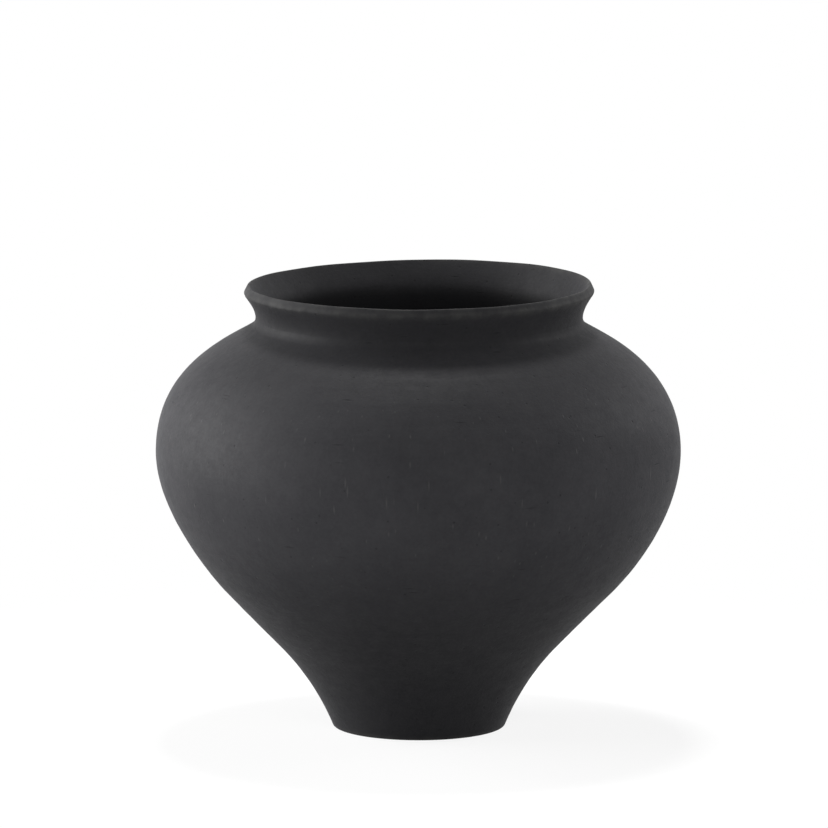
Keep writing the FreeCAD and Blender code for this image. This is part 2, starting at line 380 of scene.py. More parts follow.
class Meridian:
    """The meridian of each section, outside and inside from the foot up, and the seams between them."""

    def __init__(self, sizes, surface):
        self.sizes = sizes
        self.outside_row = surface.outside_row
        self.inside_row = surface.inside_row
        self.underside_row = surface.underside_row
        self.outside = {}
        self.inside = {}
        self.grooves = {}
        self.tongues = {}
        self.draw_foot()
        self.draw_underside()
        self.draw_lower_wall()
        self.draw_shoulder()
        self.draw_collar()
        self.outside_travel = travelled(self.outside)
        self.inside_travel = travelled(self.inside)

    def seam(self, below, above, outside, inside, lean):
        """The seam between two sections: its groove is in the one below, its tongue on the one above."""
        seam = Seam(self.sizes, outside, inside, lean)
        self.grooves[below] = seam.groove()
        self.tongues[above] = seam.tongue()
        return seam

    def draw_foot(self):
        """The foot up to its seam, and inside the floor and the bowl that turns up into the wall."""
        s = self.sizes
        self.edge_centre = at(s.foot_radius - s.foot_edge * math.cos(s.foot_lean), s.foot_edge)
        foot_top = self.edge_centre + out_of(s.foot_lean) * s.foot_edge
        self.sweep_centre = foot_top + out_of(s.foot_lean) * s.sweep_radius
        seam_lean = math.asin((s.foot_seam_height - self.sweep_centre[1]) / s.sweep_radius)
        seam_outside = self.sweep_centre - out_of(seam_lean) * s.sweep_radius
        seam_inside = seam_outside - out_of(seam_lean) * s.foot_wall
        self.foot_seam = self.seam(FOOT, LOWER, seam_outside, seam_inside, seam_lean)
        edge = arc(self.edge_centre, s.foot_edge, QUARTER_TURN, s.foot_lean, s.foot_edge / FINE_ROWS)
        sweep = arc(self.sweep_centre, -s.sweep_radius, s.foot_lean, seam_lean, self.outside_row)
        self.outside[FOOT] = joined(edge, sweep)

        floor_height = s.recess_depth + s.floor_thickness
        bowl_top_height = floor_height + s.floor_fillet * (1 - math.sin(seam_lean))
        bowl_drop = (seam_inside[1] - bowl_top_height) / math.cos(seam_lean)
        bowl_top = seam_inside - along(seam_lean) * bowl_drop
        bowl_centre = bowl_top - out_of(seam_lean) * s.floor_fillet
        floor = straight(at(0, floor_height), at(bowl_centre[0], floor_height), self.inside_row)
        bowl = arc(bowl_centre, s.floor_fillet, QUARTER_TURN, seam_lean, self.inside_row)
        self.inside[FOOT] = joined(floor, bowl, straight(bowl_top, seam_inside, self.inside_row))

    def draw_underside(self):
        """The turned recess and the flat ring that the jar stands on, from the axis outwards."""
        s = self.sizes
        side_lean = HALF_TURN - s.recess_side
        ring_centre = at(self.edge_centre[0] - s.foot_ring, s.ring_edge)
        side_foot = ring_centre + out_of(side_lean) * s.ring_edge
        side_top_height = s.recess_depth - s.recess_corner * (1 - math.sin(s.recess_side))
        side_length = (side_top_height - side_foot[1]) / math.cos(s.recess_side)
        side_top = side_foot - along(side_lean) * side_length
        corner_centre = side_top + out_of(side_lean) * s.recess_corner
        roof = straight(at(0, s.recess_depth), at(corner_centre[0], s.recess_depth), self.underside_row)
        corner = arc(corner_centre, -s.recess_corner, QUARTER_TURN, side_lean, s.recess_corner / FINE_ROWS)
        side = straight(side_top, side_foot, self.inside_row)
        ring_edge = arc(ring_centre, s.ring_edge, side_lean, QUARTER_TURN, s.ring_edge / FINE_ROWS)
        ring = straight(at(ring_centre[0], 0), at(self.edge_centre[0], 0), self.inside_row)
        self.underside = joined(roof, corner, side, ring_edge, ring)

    def draw_lower_wall(self):
        """The sweep above the foot, the straight run and the turn up to the belly."""
        s = self.sizes
        seam_lean = self.foot_seam.lean
        run_start = self.sweep_centre - out_of(s.run_lean) * s.sweep_radius
        run_end = run_start + along(s.run_lean) * s.run_length
        belly_outside = at(s.belly_radius, s.belly_height)
        belly_inside = at(s.belly_radius - s.belly_wall, s.belly_height)
        self.belly_seam = self.seam(LOWER, UPPER, belly_outside, belly_inside, 0)
        pulls = (s.run_pull, s.under_belly_pull)
        sweep = arc(self.sweep_centre, -s.sweep_radius, seam_lean, s.run_lean, self.outside_row)
        run = straight(run_start, run_end, self.outside_row)
        turn_up = curve(run_end, s.run_lean, belly_outside, 0, *pulls, self.outside_row)
        self.outside[LOWER] = joined(sweep, run, turn_up)

        inner_start = run_start - out_of(s.run_lean) * self.lower_wall_thickness(run_start[1])
        inner_end = run_end - out_of(s.run_lean) * self.lower_wall_thickness(run_end[1])
        lean = math.atan2(*(inner_end - inner_start))
        round_pulls = [round_pull(lean - seam_lean)] * 2
        sweep = curve(self.foot_seam.inside, seam_lean, inner_start, lean, *round_pulls, self.inside_row)
        run = straight(inner_start, inner_end, self.inside_row)
        turn_up = curve(inner_end, lean, belly_inside, 0, *pulls, self.inside_row)
        self.inside[LOWER] = joined(sweep, run, turn_up)

    def lower_wall_thickness(self, height):
        """The wall thins evenly with height, from the seam at the foot up to the belly."""
        s = self.sizes
        left = (s.belly_height - height) / (s.belly_height - s.foot_seam_height)
        return s.belly_wall + (s.foot_wall - s.belly_wall) * left

    def draw_shoulder(self):
        """The shoulder, and the hollow in which it turns up to the waist of the neck."""
        s = self.sizes
        root_lean = s.shoulder_slope - QUARTER_TURN
        root_centre = at(s.neck_radius + s.neck_root, s.waist_height)
        root_outside = root_centre - out_of(root_lean) * s.neck_root
        root_inside = root_outside - out_of(root_lean) * s.neck_wall
        waist_outside = at(s.neck_radius, s.waist_height)
        waist_inside = at(s.neck_radius - s.neck_wall, s.waist_height)
        self.neck_seam = self.seam(UPPER, COLLAR, waist_outside, waist_inside, 0)
        pulls = (s.over_belly_pull, s.shoulder_pull)
        shoulder = curve(self.belly_seam.outside, 0, root_outside, root_lean, *pulls, self.outside_row)
        root = arc(root_centre, -s.neck_root, root_lean, 0, s.neck_root / FINE_ROWS)
        self.outside[UPPER] = joined(shoulder, root)
        shoulder = curve(self.belly_seam.inside, 0, root_inside, root_lean, *pulls, self.inside_row)
        root = arc(root_centre, -s.neck_root - s.neck_wall, root_lean, 0, self.outside_row)
        self.inside[UPPER] = joined(shoulder, root)

    def draw_collar(self):
        """The flare above the waist and the lip: its outer corner, its end and its inner edge."""
        s = self.sizes
        self.lip_outside = at(s.neck_radius + s.flare_overhang, s.waist_height + s.flare_rise)
        face_lean = s.lip_lean - QUARTER_TURN + s.lip_bevel
        corner_centre = self.lip_outside - out_of(s.lip_lean) * s.lip_corner
        face_start = corner_centre + out_of(face_lean) * s.lip_corner
        edge_track = self.lip_outside - out_of(s.lip_lean) * (s.lip_wall - s.lip_edge)
        face_gap = (face_start - edge_track) @ out_of(face_lean) - s.lip_edge
        edge_rise = face_gap / (along(s.lip_lean) @ out_of(face_lean))
        self.lip_edge_centre = edge_track + along(s.lip_lean) * edge_rise
        self.lip_corner = corner_centre + out_of((s.lip_lean + face_lean) / 2) * s.lip_corner
        face_end = self.lip_edge_centre + out_of(face_lean) * s.lip_edge
        lip_inside = self.lip_edge_centre - out_of(s.lip_lean) * s.lip_edge
        pulls = (s.waist_pull, s.lip_pull)
        fine_row = self.outside_row / 2
        flare = curve(self.neck_seam.outside, 0, self.lip_outside, s.lip_lean, *pulls, fine_row)
        corner = arc(corner_centre, s.lip_corner, s.lip_lean, face_lean, s.lip_corner / LIP_ROWS)
        face = straight(face_start, face_end, fine_row)
        turned_in = s.lip_lean - HALF_TURN
        edge = arc(self.lip_edge_centre, s.lip_edge, face_lean, turned_in, s.lip_edge / FINE_ROWS)
        self.outside[COLLAR] = joined(flare, corner, face, edge)
        self.inside[COLLAR] = curve(self.neck_seam.inside, 0, lip_inside, s.lip_lean, *pulls, fine_row)

    def rubbed_edges(self):
        """The middle and the reach of each edge that hands and shelves rub."""
        s = self.sizes
        foot_edge = self.edge_centre + out_of((QUARTER_TURN + s.foot_lean) / 2) * s.foot_edge
        lip_edge = self.lip_edge_centre + along(s.lip_lean) * s.lip_edge
        return [
            (foot_edge, s.foot_edge),
            (self.lip_corner, s.lip_corner * CORNER_RUB_SHARE),
            (lip_edge, s.lip_edge * EDGE_RUB_SHARE),
        ]


def travelled(rows_by_section):
    """How far up the wall each row lies, measured along the clay from the foot."""
    start = 0
    travel = {}
    for section, rows in rows_by_section.items():
        steps = np.linalg.norm(np.diff(rows[:, :2], axis=0), axis=1)
        travel[section] = start + np.concatenate([[0], np.cumsum(steps)])
        start = travel[section][-1]
    return travel


def ramp(value, low, high):
    """A smooth rise from 0 at low to 1 at high."""
    t = np.clip((value - low) / (high - low), 0, 1)
    return t * t * (3 - 2 * t)


class Relief:
    """What hands and tools leave in the clay, as shifts of its surface at each row and spoke."""

    # Turning rings: their widths, how many widths they climb in a turn, their weights and their fading.
    RINGS = 26
    RING_WAVES = (5.0 * MM, 24.0 * MM)
    RING_CLIMBS = (-2, 3)
    RING_WEIGHTS = (0.4, 1.0)
    RING_FADE_SHARE = 0.4
    RING_FADES = 3

    # Swells, which keep the jar from being quite round: how many go round it, and their heights.
    SWELLS = 7
    SWELL_ORDERS = (1, 5)
    SWELL_WAVES = (90.0 * MM, 260.0 * MM)
    BELLY_REACH = 35 * MM

    # Where the marks grow calm: above the foot, towards the lip, and inside below the neck.
    CALM_FOOT = 9 * MM
    CALM_LIP_SHARE = 0.7
    CALM_NECK_WALLS = 6

    # The uneven lip: its ripples round the jar, and where its tilt and its twist are highest.
    RIPPLES = (3, 5, 9, 14)
    TILT_PLACE = math.radians(-6)
    TWIST_PLACE = math.radians(39)
    HIGHEST_LIP = 0.15 * MM

    # Turns and widths of dents are in degrees. The thumb's have their places, the others fall by chance.
    THUMB_DENTS = (Dent(211.4, 2.2, 1.0), Dent(231.3, 1.6, 0.8), Dent(247.0, 3.0, 0.45))
    DENTS = 14
    DENT_WIDTHS = (0.8, 2.4)
    DENT_WEIGHTS = (0.1, 0.5)
    DENT_REACH_SHARE = 1.1

    # Heights in the jar and how far its middle lies to the right there, in millimetres.
    AXIS_WANDER = ((0, 0.45), (60, 0.20), (105, 1.05), (165, 0), (200, -0.15), (245, 0.55))

    def __init__(self, sizes, surface):
        self.sizes = sizes
        self.surface = surface
        self.turns = np.arange(surface.spokes) * FULL_TURN / surface.spokes
        chance = np.random.default_rng(surface.seed)
        self.ring_wave = chance.uniform(*self.RING_WAVES, self.RINGS)
        self.ring_phase = chance.uniform(0, FULL_TURN, self.RINGS)
        self.ring_climb = chance.integers(*self.RING_CLIMBS, self.RINGS)
        self.ring_weight = chance.uniform(*self.RING_WEIGHTS, self.RINGS) / math.sqrt(self.RINGS)
        self.swell_order = chance.integers(*self.SWELL_ORDERS, self.SWELLS)
        self.swell_phase = chance.uniform(0, FULL_TURN, self.SWELLS)
        self.swell_wave = chance.uniform(*self.SWELL_WAVES, self.SWELLS)
        self.ripple_phase = chance.uniform(0, FULL_TURN, len(self.RIPPLES))
        turn = chance.uniform(0, 360, self.DENTS)
        width = chance.uniform(*self.DENT_WIDTHS, self.DENTS)
        weight = chance.uniform(*self.DENT_WEIGHTS, self.DENTS)
        self.dent_list = [*self.THUMB_DENTS, *zip(turn, width, weight)]

    def sway(self, radius, height):
        """How far the wall is drawn in, all through its thickness, because it is not quite round."""
        total = 0
        for order, phase, wave in zip(self.swell_order, self.swell_phase, self.swell_wave):
            total = total + np.cos(order * self.turns + FULL_TURN * height / wave + phase)
        at_belly = np.exp(-(((height - self.sizes.belly_height) / self.BELLY_REACH) ** 2))
        depth = self.surface.out_of_round / 2 * (at_belly - total / self.SWELLS)
        return depth * radius / self.sizes.belly_radius * ramp(height, 0, self.sizes.foot_seam_height)

    def wander(self, height):
        """How far the middle of the jar lies to the right of its axis at a height."""
        shift = self.AXIS_WANDER[0][1]
        for (low, before), (high, after) in zip(self.AXIS_WANDER, self.AXIS_WANDER[1:]):
            shift = shift + (after - before) * ramp(height, low * MM, high * MM)
        return shift * MM

    def sink(self, height):
        """How far the lip lies below its highest place."""
        surface = self.surface
        tilt = surface.lip_tilt * (1 - np.cos(self.turns - self.TILT_PLACE))
        twist = surface.lip_twist * (1 - np.cos(2 * (self.turns - self.TWIST_PLACE)))
        waves = zip(self.RIPPLES, self.ripple_phase)
        ripple = sum(1 - np.cos(order * self.turns + phase) for order, phase in waves)
        depth = tilt + twist + surface.lip_ripple * ripple - self.HIGHEST_LIP
        return np.maximum(depth, 0) * ramp(height, self.sizes.waist_height, CAD_HIGH.z)

    def turning_marks(self, meridian, section):
        """Faint rings outside, which come and go round the jar, and small dents in the edge of the lip."""
        rows = meridian.outside[section]
        travel = meridian.outside_travel[section][:, None]
        rings = 0
        waves = zip(self.ring_wave, self.ring_phase, self.ring_climb, self.ring_weight)
        for wave, phase, climb, weight in waves:
            coming_and_going = np.cos(self.turns * (1 + climb % self.RING_FADES) + phase * self.RING_FADES)
            fade = 1 - self.RING_FADE_SHARE * (1 - coming_and_going)
            rings = rings + weight * fade * np.cos(FULL_TURN * travel / wave + climb * self.turns + phase)
        height = rows[:, 1][:, None]
        above_foot = ramp(height, 0, self.CALM_FOOT)
        below_lip = 1 - self.CALM_LIP_SHARE * ramp(height, self.sizes.waist_height, meridian.lip_outside[1])
        from_lip = np.linalg.norm(rows[:, :2] - meridian.lip_corner, axis=1)[:, None]
        near_lip = np.exp(-((from_lip / (self.sizes.lip_corner * self.DENT_REACH_SHARE)) ** 2))
        dents = self.surface.dent_depth * self.dents() * near_lip
        return self.surface.turning_depth * rings * above_foot * below_lip - dents

    def dents(self):
        """The small dents of the lip, from 0 to about 1."""
        total = 0
        for turn, width, weight in self.dent_list:
            away = np.angle(np.exp(1j * (self.turns - math.radians(turn))))
            total = total + weight * np.exp(-((away / math.radians(width)) ** 2))
        return total

    def throwing_marks(self, meridian, section):
        """The spiral that the fingers leave inside, up to the shoulder."""
        rows = meridian.inside[section]
        travel = meridian.inside_travel[section][:, None]
        spiral = np.cos(FULL_TURN * travel / self.surface.throwing_pitch - self.turns)
        off_axis = ramp(rows[:, 0][:, None], 0, self.sizes.floor_fillet)
        neck = self.sizes.waist_height
        calm_from = neck - self.CALM_NECK_WALLS * self.sizes.neck_wall
        below_neck = 1 - ramp(rows[:, 1][:, None], calm_from, neck)
        return self.surface.throwing_depth * spiral * off_axis * below_neck

    def trimming_marks(self, rows):
        """The spiral that the trimming tool leaves under the floor."""
        radius = rows[:, 0][:, None]
        spiral = np.cos(FULL_TURN * radius / self.surface.trimming_pitch - self.turns)
        on_roof = rows[:, 1][:, None] >= self.sizes.recess_depth
        off_axis = ramp(radius, 0, 2 * self.surface.trimming_pitch)
        return self.surface.trimming_depth * spiral * off_axis * on_roof


def turned(rows, marks, relief):
    """Points of a turned surface, row by row and spoke by spoke. Marks shift them square to the wall."""
    lean = rows[:, 2][:, None]
    radius = rows[:, 0][:, None] + np.cos(lean) * marks
    height = rows[:, 1][:, None] - np.sin(lean) * marks
    points = on_spokes(radius - relief.sway(radius, height), height - relief.sink(height), relief.turns)
    points[..., 0] += relief.wander(height)
    return points


def on_spokes(radius, height, turns):
    """Points at each spoke, from radii and heights by row."""
    return np.stack([radius * np.cos(turns), radius * np.sin(turns), height + 0 * turns], axis=-1)


def turned_joint(points, relief):
    """Points of the faces of a joint, which are cut true and carry no marks."""
    points = np.array(points)
    return on_spokes(points[:, :1], points[:, 1:], relief.turns)


def ring_of_clay(meridian, relief, section):
    """The grid of a section, row after row: outside, groove above, inside and tongue below."""
    outside = turned(meridian.outside[section], relief.turning_marks(meridian, section), relief)
    inside = turned(meridian.inside[section], -relief.throwing_marks(meridian, section), relief)[::-1]
    if section in meridian.grooves:
        parts = [outside, turned_joint(meridian.grooves[section], relief), inside]
    else:
        parts = [outside, inside[1:]]
    if section in meridian.tongues:
        parts.append(turned_joint(meridian.tongues[section][::-1], relief))
    return np.concatenate(parts)


def foot_of_clay(meridian, relief):
    """The grid of the foot, from the middle of its underside round to the middle of the floor inside."""
    rows = meridian.underside[:-1]
    underside = turned(rows, relief.trimming_marks(rows), relief)
    return np.concatenate([underside, ring_of_clay(meridian, relief, FOOT)])


def faces_between(rows, spokes):
    """Faces between neighbouring rows, whose points are numbered row after row."""
    numbers = np.arange(rows * spokes).reshape(rows, spokes)
    here = numbers[:-1]
    above = numbers[1:]
    corners = [here, np.roll(here, -1, axis=1), np.roll(above, -1, axis=1), above]
    return np.stack(corners, axis=-1).reshape(-1, 4)


def closed_ring(grid):
    """Points and faces of a ring whose last row meets its first."""
    rows, spokes = grid.shape[:2]
    faces = faces_between(rows + 1, spokes) % (rows * spokes)
    return grid.reshape(-1, 3), faces.tolist()


def closed_foot(grid):
    """Points and faces of the foot, whose first and last rows shrink to one point each."""
    rows, spokes = grid.shape[:2]
    points = np.vstack([grid[1:-1].reshape(-1, 3), grid[0, :1], grid[-1, :1]])
    under = len(points) - 2
    inside = len(points) - 1
    faces = faces_between(rows - 2, spokes).tolist()
    last_row = (rows - 3) * spokes
    for spoke in range(spokes):
        after = (spoke + 1) % spokes
        faces.append([under, after, spoke])
        faces.append([inside, last_row + spoke, last_row + after])
    return points, faces


def piece(name, node, points, faces, meridian, material):
    """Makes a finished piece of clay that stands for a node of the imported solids."""
    mesh = bpy.data.meshes.new(name)
    mesh.from_pydata(points.tolist(), [], faces)
    if mesh.validate():
        raise RuntimeError(f"{name} has faces that had to be mended")
    rub = mesh.attributes.new("rub", "FLOAT", "POINT")
    rub.data.foreach_set("value", rubbed(points, meridian))
    mesh.materials.append(material)
    mesh.shade_smooth()
    mesh.set_sharp_from_angle(angle=SHARP_ANGLE)
    made = bpy.data.objects.new(name, mesh)
    bpy.context.collection.objects.link(made)
    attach(made, BODY)
    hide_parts(node)


def rubbed(points, meridian):
    """How much hands and shelves have rubbed each point, from 0 to 1."""
    flat = np.column_stack([np.hypot(points[:, 0], points[:, 1]), points[:, 2]])
    rub = np.zeros(len(points))
    for middle, reach in meridian.rubbed_edges():
        away = np.linalg.norm(flat - middle, axis=1)
        rub = np.maximum(rub, np.exp(-((away / reach) ** 2)))
    return rub.astype(np.float32)


class Recipe:
    """A procedural material: it adds nodes, links them and gives back their results."""

    def __init__(self, name):
        self.material = bpy.data.materials.new(name)
        self.material.use_nodes = True
        self.tree = self.material.node_tree
        self.shader = self.tree.nodes["Principled BSDF"]
        coordinates = self.node("ShaderNodeTexCoord").outputs
        self.place = coordinates["Object"]
        self.normal = coordinates["Normal"]

    def node(self, kind, inputs=None, **settings):
        """Adds a node, with its settings and what its inputs take."""
        made = self.tree.nodes.new(kind)
        for name, value in settings.items():
            setattr(made, name, value)
        for name, value in (inputs or {}).items():
            self.feed(made.inputs[name], value)
        return made

    def feed(self, socket, value):
        """Gives an input a result of another node, or a plain value."""
        if isinstance(value, bpy.types.NodeSocket):
            self.tree.links.new(value, socket)
        else:
            socket.default_value = value

    def math(self, operation, first, second):
        """A sum, product or the like of two numbers."""
        return self.node("ShaderNodeMath", {0: first, 1: second}, operation=operation).outputs[0]

    def vector_math(self, operation, first, second):
        """A sum, product or the like of two places or colours."""
        return self.node("ShaderNodeVectorMath", {0: first, 1: second}, operation=operation).outputs[0]

    def total(self, first, *others):
        """The sum of several numbers."""
        for other in others:
            first = self.math("ADD", first, other)
        return first

    def clouds(self, kind):
        """Cloudy noise from 0 to 1, drawn out round the jar where it has a girth."""
        place = self.round_the_jar(kind.girth) if kind.girth else self.place
        look = {"Scale": 1 / kind.size, "Detail": kind.detail, "Roughness": kind.roughness}
        return self.node("ShaderNodeTexNoise", {"Vector": place, **look}).outputs["Fac"]

    def remap(self, value, low, high, to_low, to_high, course="LINEAR"):
        """A value that runs from to_low to to_high while another runs from low to high."""
        inputs = {"Value": value, "From Min": low, "From Max": high, "To Min": to_low, "To Max": to_high}
        return self.node("ShaderNodeMapRange", inputs, interpolation_type=course).outputs["Result"]

    def mix(self, amount, first, second):
        """Two colours mixed by an amount from 0 to 1."""
        inputs = {0: amount, 6: first, 7: second}
        return self.node("ShaderNodeMix", inputs, data_type="RGBA").outputs[2]

    def attribute(self, name):
        """What the points of the mesh carry under a name."""
        return self.node("ShaderNodeAttribute", attribute_name=name).outputs["Fac"]

    def outwards(self):
        """The level way out from the axis of the jar."""
        level = self.vector_math("MULTIPLY", self.place, (1, 1, 0))
        return self.node("ShaderNodeVectorMath", {0: level}, operation="NORMALIZE").outputs[0]

    def round_the_jar(self, girth):
        """Places stretched round the jar, so that the girth stands for its whole way round."""
        circle = self.vector_math("MULTIPLY", self.outwards(), (girth / FULL_TURN, girth / FULL_TURN, 0))
        upright = self.vector_math("MULTIPLY", self.place, (0, 0, 1))
        return self.vector_math("ADD", circle, upright)

    def drawn_upright(self, times):
        """Places stretched upright this many times."""
        return self.vector_math("MULTIPLY", self.place, (1, 1, 1 / times))

    def marks(self, kind):
        """Small marks, 1 in the middle and 0 outside, of which a share is left out."""
        place = self.round_the_jar(kind.girth) if kind.girth else self.drawn_upright(kind.upright)
        cells = self.node("ShaderNodeTexVoronoi", {"Vector": place, "Scale": 1 / kind.spacing})
        chosen = self.node("ShaderNodeSeparateColor", {0: cells.outputs["Color"]}).outputs[0]
        depth = self.remap(cells.outputs["Distance"], 0, kind.size / kind.spacing, 1, 0)
        return self.math("MULTIPLY", depth, self.math("GREATER_THAN", chosen, kind.share_left_out))

    def raised(self, *layers):
        """The height, in metres, of layers one on another. Each layer is a pair to be multiplied."""
        return self.total(*(self.math("MULTIPLY", amount, height) for amount, height in layers))

    def finish(self, colour, roughness, height, reflection):
        """Sets the shader. The height is in metres."""
        self.feed(self.shader.inputs["Base Color"], colour)
        self.feed(self.shader.inputs["Roughness"], roughness)
        bump = self.node("ShaderNodeBump", {"Strength": 1.0, "Distance": 1.0, "Height": height})
        self.feed(self.shader.inputs["Normal"], bump.outputs["Normal"])
        self.shader.inputs["Specular IOR Level"].default_value = reflection
        self.shader.inputs["Diffuse Roughness"].default_value = MATT
        return self.material


def opaque(shade):
    """A colour with its alpha."""
    return (*shade, 1.0)


def painted_shade_tone(recipe, sizes, surface):
    """Painted shade: full tone round the belly, darker down to the foot and up to the neck, where the jar
    lies in shade.
    """
    height = recipe.node("ShaderNodeSeparateXYZ", {0: recipe.place}).outputs["Z"]
    below = (sizes.foot_seam_height + 2 * TONE_REACH, sizes.belly_height)
    above = (sizes.belly_height + TONE_REACH, sizes.waist_height)
    from_foot = recipe.remap(height, *below, surface.foot_painted_shade, 1, "SMOOTHSTEP")
    to_neck = recipe.remap(height, *above, 1, surface.neck_painted_shade, "SMOOTHSTEP")
    return recipe.math("MULTIPLY", from_foot, to_neck)


def painted_inside_shade_tone(recipe, sizes, surface):
    """Painted shade inside the jar: the clay is darker from the waist down, where the inside lies in shade.
    """
    height = recipe.node("ShaderNodeSeparateXYZ", {0: recipe.place}).outputs["Z"]
    across = {0: recipe.normal, 1: recipe.outwards()}
    facing = recipe.node("ShaderNodeVectorMath", across, operation="DOT_PRODUCT").outputs["Value"]
    inside = recipe.remap(facing, TURNED_INWARDS, 0, 1, 0)
    below = (sizes.waist_height, sizes.waist_height + TONE_REACH / 2)
    return recipe.remap(inside, 0, 1, 1, recipe.remap(height, *below, surface.inside_painted_shade, 1, "SMOOTHSTEP"))


def stoneware(sizes, surface):
    """Matt charcoal stoneware: clouded, sandy, finely pitted, with turning streaks, rubbed edges and painted
    shade.
    """
    known = bpy.data.materials.get(CLAY)
    if known:
        return known
    recipe = Recipe(CLAY)
    clouds = recipe.clouds(CLOUDS)
    blotches = recipe.clouds(BLOTCHES)
    sand = recipe.clouds(SAND)
    pits = recipe.marks(PITS)
    drags = recipe.marks(DRAGS)
    # Painted shade, darker down to the foot and up to the neck; the scores keep to where it is lightest.
    fired = painted_shade_tone(recipe, sizes, surface)
    handled = recipe.remap(fired, *HANDLED_SPAN, LEAST_HANDLED, 1)
    scores = recipe.math("MULTIPLY", recipe.marks(SCORES), handled)

    tone = recipe.total(
        recipe.remap(clouds, *CLOUD_SPAN, 0, CLOUD_SHARE),
        recipe.remap(blotches, *CLOUD_SPAN, 0, BLOTCH_SHARE),
        recipe.remap(sand, *SAND_SPAN, *SAND_SHARES),
    )
    shade = recipe.mix(tone, opaque(surface.clay_dark), opaque(surface.clay_light))
    shade = recipe.mix(recipe.math("MULTIPLY", scores, SCORE_WEAR), shade, opaque(surface.clay_worn))
    # Painted shade in the hollows of the pits and drags.
    painted_mark_shade = recipe.remap(recipe.math("MAXIMUM", pits, drags), 0, 1, 1, MARK_PAINTED_SHADE)
    shade = recipe.vector_math("MULTIPLY", shade, painted_mark_shade)
    patchy = recipe.remap(blotches, *RUB_SPAN, LEAST_RUBBED, 1)
    rub = recipe.math("MULTIPLY", recipe.attribute("rub"), patchy)
    shade = recipe.mix(rub, shade, opaque(surface.clay_worn))
    # Painted shade: darker toward the foot and the neck, and inside below the waist.
    shade = recipe.vector_math("MULTIPLY", shade, fired)
    shade = recipe.vector_math("MULTIPLY", shade, painted_inside_shade_tone(recipe, sizes, surface))
    roughness = recipe.remap(recipe.math("ADD", blotches, sand), *ROUGH_SPAN, *CLAY_ROUGHNESS)

    streaky = recipe.remap(recipe.clouds(STREAKY_PATCHES), *STREAKY_SPAN, LEAST_STREAKY, 1)
    streaks = recipe.raised(
        (recipe.clouds(STREAKS), STREAKS.height),
        (recipe.clouds(FINE_STREAKS), FINE_STREAKS.height),
    )
    height = recipe.raised(
        (recipe.clouds(GRAIN), GRAIN.height),
        (sand, SAND.height),
        (streaks, streaky),
        (pits, PITS.height),
        (recipe.marks(PINHOLES), PINHOLES.height),
        (scores, SCORES.height),
        (drags, DRAGS.height),
    )
    return recipe.finish(shade, roughness, height, CLAY_REFLECTION)


def slip(surface):
    """The fired slip in the seams: the same clay, finer and greyer."""
    known = bpy.data.materials.get(SLIP)
    if known:
        return known
    recipe = Recipe(SLIP)
    blotches = recipe.clouds(SLIP_BLOTCHES)
    tone = recipe.remap(blotches, *CLOUD_SPAN, 0, 1)
    shade = recipe.mix(tone, opaque(surface.slip_grey), opaque(surface.clay_light))
    roughness = recipe.remap(blotches, *CLOUD_SPAN, *SLIP_ROUGHNESS)
    height = recipe.raised((recipe.clouds(SLIP_GRAIN), SLIP_GRAIN.height))
    return recipe.finish(shade, roughness, height, SLIP_REFLECTION)


def throw(context, name, section):
    """Turns one section of clay, which stands for the solid of that section."""
    sizes = context.scene.jar_sizes
    surface = context.scene.jar_surface
    meridian = Meridian(sizes, surface)
    relief = Relief(sizes, surface)
    if section == FOOT:
        points, faces = closed_foot(foot_of_clay(meridian, relief))
    else:
        points, faces = closed_ring(ring_of_clay(meridian, relief, section))
    piece(name, section, points, faces, meridian, stoneware(sizes, surface))
    return {"FINISHED"}


class TurnFoot(bpy.types.Operator):
    """Turn the foot: floor, foot ring, recess underneath and the first stretch of wall"""

    bl_idname = "jar.turn_foot"
    bl_label = "Turn Foot"

    def execute(self, context):
        return throw(context, "turned_foot", FOOT)


class ThrowLowerWall(bpy.types.Operator):
    """Throw the wall from above the foot to the widest line of the belly"""

    bl_idname = "jar.throw_lower_wall"
    bl_label = "Throw Lower Wall"

    def execute(self, context):
        return throw(context, "thrown_lower_wall", LOWER)


class ThrowShoulder(bpy.types.Operator):
    """Throw the shoulder, up to the waist of the neck"""

    bl_idname = "jar.throw_shoulder"
    bl_label = "Throw Shoulder"

    def execute(self, context):
        return throw(context, "thrown_shoulder", UPPER)


class FlareCollar(bpy.types.Operator):
    """Throw the upper neck and flare its lip"""

    bl_idname = "jar.flare_collar"
    bl_label = "Flare Collar"

    def execute(self, context):
        return throw(context, "flared_collar", COLLAR)


class ColourSlip(bpy.types.Operator):
    """Give the three rings of slip in the seams their fired look"""

    bl_idname = "jar.colour_slip"
    bl_label = "Colour Slip"

    def execute(self, context):
        material = slip(context.scene.jar_surface)
        for name in SLIP_RINGS:
            for material_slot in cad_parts[name].material_slots:
                material_slot.material = material
        return {"FINISHED"}


def seen_directly(tree):
    """1 for rays from the camera and for mirrored and refracted ones, 0 for the others."""
    path = tree.nodes.new("ShaderNodeLightPath")
    total = path.outputs["Is Camera Ray"]
    for name in ("Is Glossy Ray", "Is Transmission Ray"):
        either = tree.nodes.new("ShaderNodeMath")
        either.operation = "MAXIMUM"
        tree.links.new(total, either.inputs[0])
        tree.links.new(path.outputs[name], either.inputs[1])
        total = either.outputs[0]
    return total


def mix_shaders(tree, amount, first, second):
    """A mix of two shaders: the first at 0, the second at 1."""
    mixed = tree.nodes.new("ShaderNodeMixShader")
    tree.links.new(amount, mixed.inputs[0])
    tree.links.new(first.outputs[0], mixed.inputs[1])
    tree.links.new(second.outputs[0], mixed.inputs[2])
    return mixed


